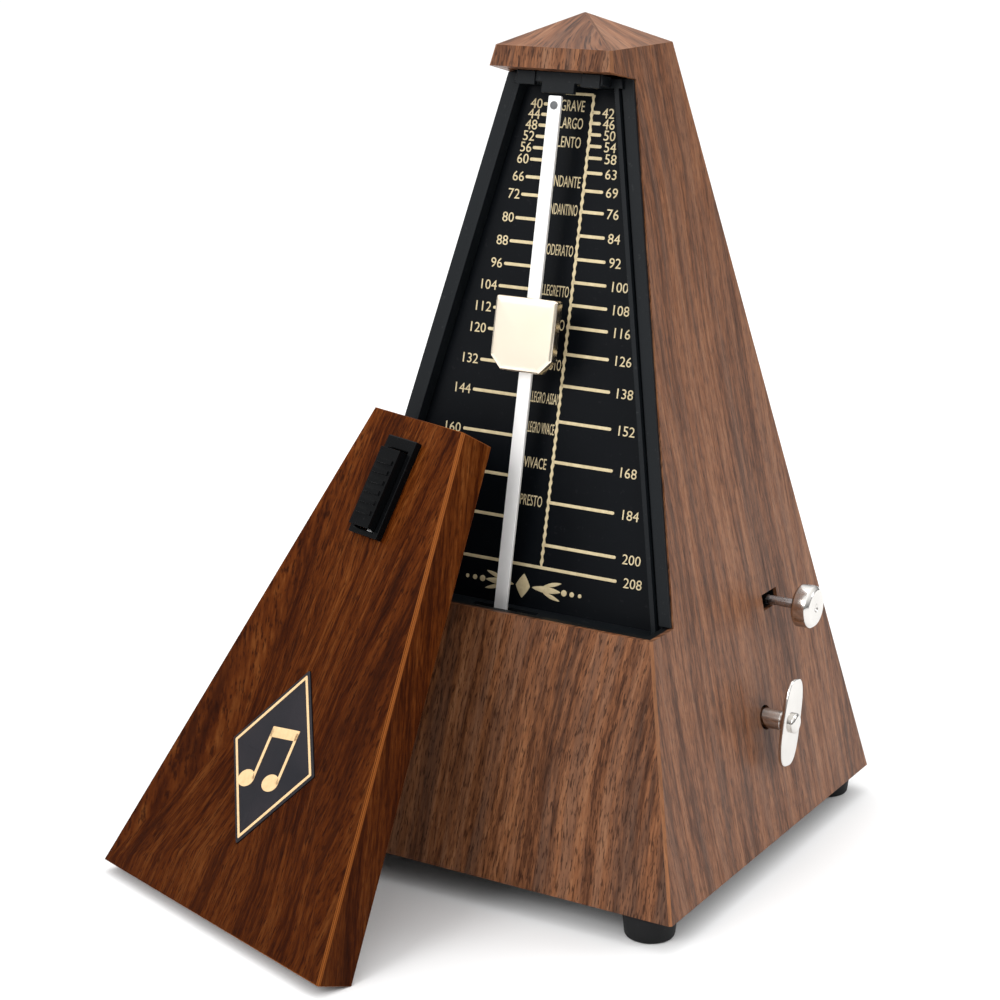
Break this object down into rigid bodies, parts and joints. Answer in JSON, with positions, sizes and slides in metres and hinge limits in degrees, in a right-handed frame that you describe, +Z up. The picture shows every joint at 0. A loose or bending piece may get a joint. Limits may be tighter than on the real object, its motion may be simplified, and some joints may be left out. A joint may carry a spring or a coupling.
{
  "type": "metronome",
  "caption": "Pyramid mechanical metronome with a swinging rod, sliding tempo weight, scale plate, winding key, bell selector, rubber feet and a lift-off front cover leaning beside it.",
  "frame": {"origin": "middle of the case's footprint, on the surface that the feet stand on", "axes": "+Z up; the scale and the pendulum face -Y; the winding key and the bell selector are on +X"},
  "size_m": [0.145, 0.1787, 0.2099],
  "materials": {
    "walnut_case": "satin walnut-grain film over a moulded shell",
    "walnut_cover": "satin walnut-grain film over a moulded shell",
    "black_plastic": "moulded, fine satin",
    "scale_black": "blue-black gloss with pale gold print",
    "rubber_feet": "matt",
    "polished_nickel": "polished nickel plate",
    "rod_steel": "bright brushed strip",
    "steel_parts": "plain steel",
    "brass_parts": "plain brass",
    "champagne_weight": "champagne gold, satin plated",
    "cast_weight": "as cast",
    "bell_metal": "nickel plated",
    "badge_foil": "dark navy enamel with a gold line"
  },
  "bodies": {
    "case": {"case_shell": "walnut_case", "base_plate": "black_plastic", "feet": "rubber_feet", "base_screws": "steel_parts", "bezel_frame": "black_plastic", "scale_plate": "scale_black", "rod_clip": "black_plastic", "movement_plate_right": "brass_parts", "movement_plate_left": "brass_parts", "movement_pillars": "steel_parts", "pillar_nuts": "steel_parts", "movement_rails": "black_plastic", "front_bearing": "brass_parts", "rear_bearing": "brass_parts", "crown_cock": "brass_parts", "bell_post": "steel_parts", "bell": "bell_metal", "bell_screw": "steel_parts", "selector_click": "steel_parts"},
    "cover": {"cover_panel": "walnut_cover", "cover_badge": "badge_foil", "latch_plate": "black_plastic", "latch_spring": "steel_parts"},
    "latch": {"latch_button": "black_plastic", "latch_hook": "black_plastic"},
    "pendulum": {"pendulum_rod": "rod_steel", "pendulum_arbor": "steel_parts", "pendulum_hub": "brass_parts", "counterweight": "cast_weight", "verge_pallets": "steel_parts", "rod_rivet": "polished_nickel"},
    "tempo_weight": {"sliding_weight": "champagne_weight", "weight_clip": "champagne_weight"},
    "selector": {"selector_rod": "polished_nickel", "selector_knob": "polished_nickel", "selector_finger": "brass_parts"},
    "winding": {"key_arbor": "steel_parts", "ratchet_wheel": "steel_parts", "winding_key": "polished_nickel"},
    "great": {"great_wheel": "brass_parts", "spring_barrel": "brass_parts", "barrel_lid": "brass_parts", "mainspring": "steel_parts", "ratchet_click": "steel_parts"},
    "second": {"second_arbor": "steel_parts", "second_pinion": "steel_parts", "second_wheel": "brass_parts"},
    "crown": {"crown_arbor": "steel_parts", "crown_pinion": "steel_parts", "crown_wheel": "brass_parts"},
    "beat": {"beat_arbor": "steel_parts", "beat_pinion": "steel_parts", "beat_wheels": "brass_parts"},
    "hammer": {"hammer_arbor": "steel_parts", "hammer_head": "brass_parts", "hammer_lifter": "steel_parts"}
  },
  "joints": [
    {"name": "cover_lift", "type": "slide", "parent": "case", "child": "cover", "axis": [-0.4208, -0.6211, 0.6612], "range_m": [0, 0.16]},
    {"name": "latch_press", "type": "slide", "parent": "cover", "child": "latch", "axis": [0.2663, 0.8195, -0.5075], "range_m": [0, 0.0012], "stiffness_N_per_m": 120},
    {"name": "pendulum_swing", "type": "hinge", "parent": "case", "child": "pendulum", "pos_m": [0, -0.0404, 0.0585], "axis": [0, -0.9806, 0.1959], "range_deg": [-20, 20]},
    {"name": "weight_slide", "type": "slide", "parent": "pendulum", "child": "tempo_weight", "axis": [0, 0.1959, 0.9806], "range_m": [-0.053, 0.042]},
    {"name": "selector_pull", "type": "slide", "parent": "case", "child": "selector", "axis": [1, 0, 0], "range_m": [-0.0048, 0.0048]},
    {"name": "key_wind", "type": "hinge", "parent": "case", "child": "winding", "pos_m": [0, 0.0046, 0.037], "axis": [1, 0, 0], "continuous": true},
    {"name": "great_turn", "type": "hinge", "parent": "case", "child": "great", "pos_m": [0, 0.0046, 0.037], "axis": [1, 0, 0], "continuous": true},
    {"name": "second_turn", "type": "hinge", "parent": "case", "child": "second", "pos_m": [0, -0.01781, 0.039], "axis": [1, 0, 0], "continuous": true},
    {"name": "crown_turn", "type": "hinge", "parent": "case", "child": "crown", "pos_m": [0, -0.012, 0.05282], "axis": [1, 0, 0], "continuous": true},
    {"name": "beat_turn", "type": "hinge", "parent": "case", "child": "beat", "pos_m": [0, 0.01516, 0.05687], "axis": [1, 0, 0], "continuous": true},
    {"name": "hammer_swing", "type": "hinge", "parent": "case", "child": "hammer", "pos_m": [0, 0.027, 0.046], "axis": [1, 0, 0], "range_deg": [-22, 5], "stiffness_Nm_per_rad": 0.002}
  ],
  "couplings": [
    {"joint": "second_turn", "follows": "great_turn", "ratio": -4},
    {"joint": "beat_turn", "follows": "great_turn", "ratio": -4},
    {"joint": "crown_turn", "follows": "great_turn", "ratio": 16}
  ]
}
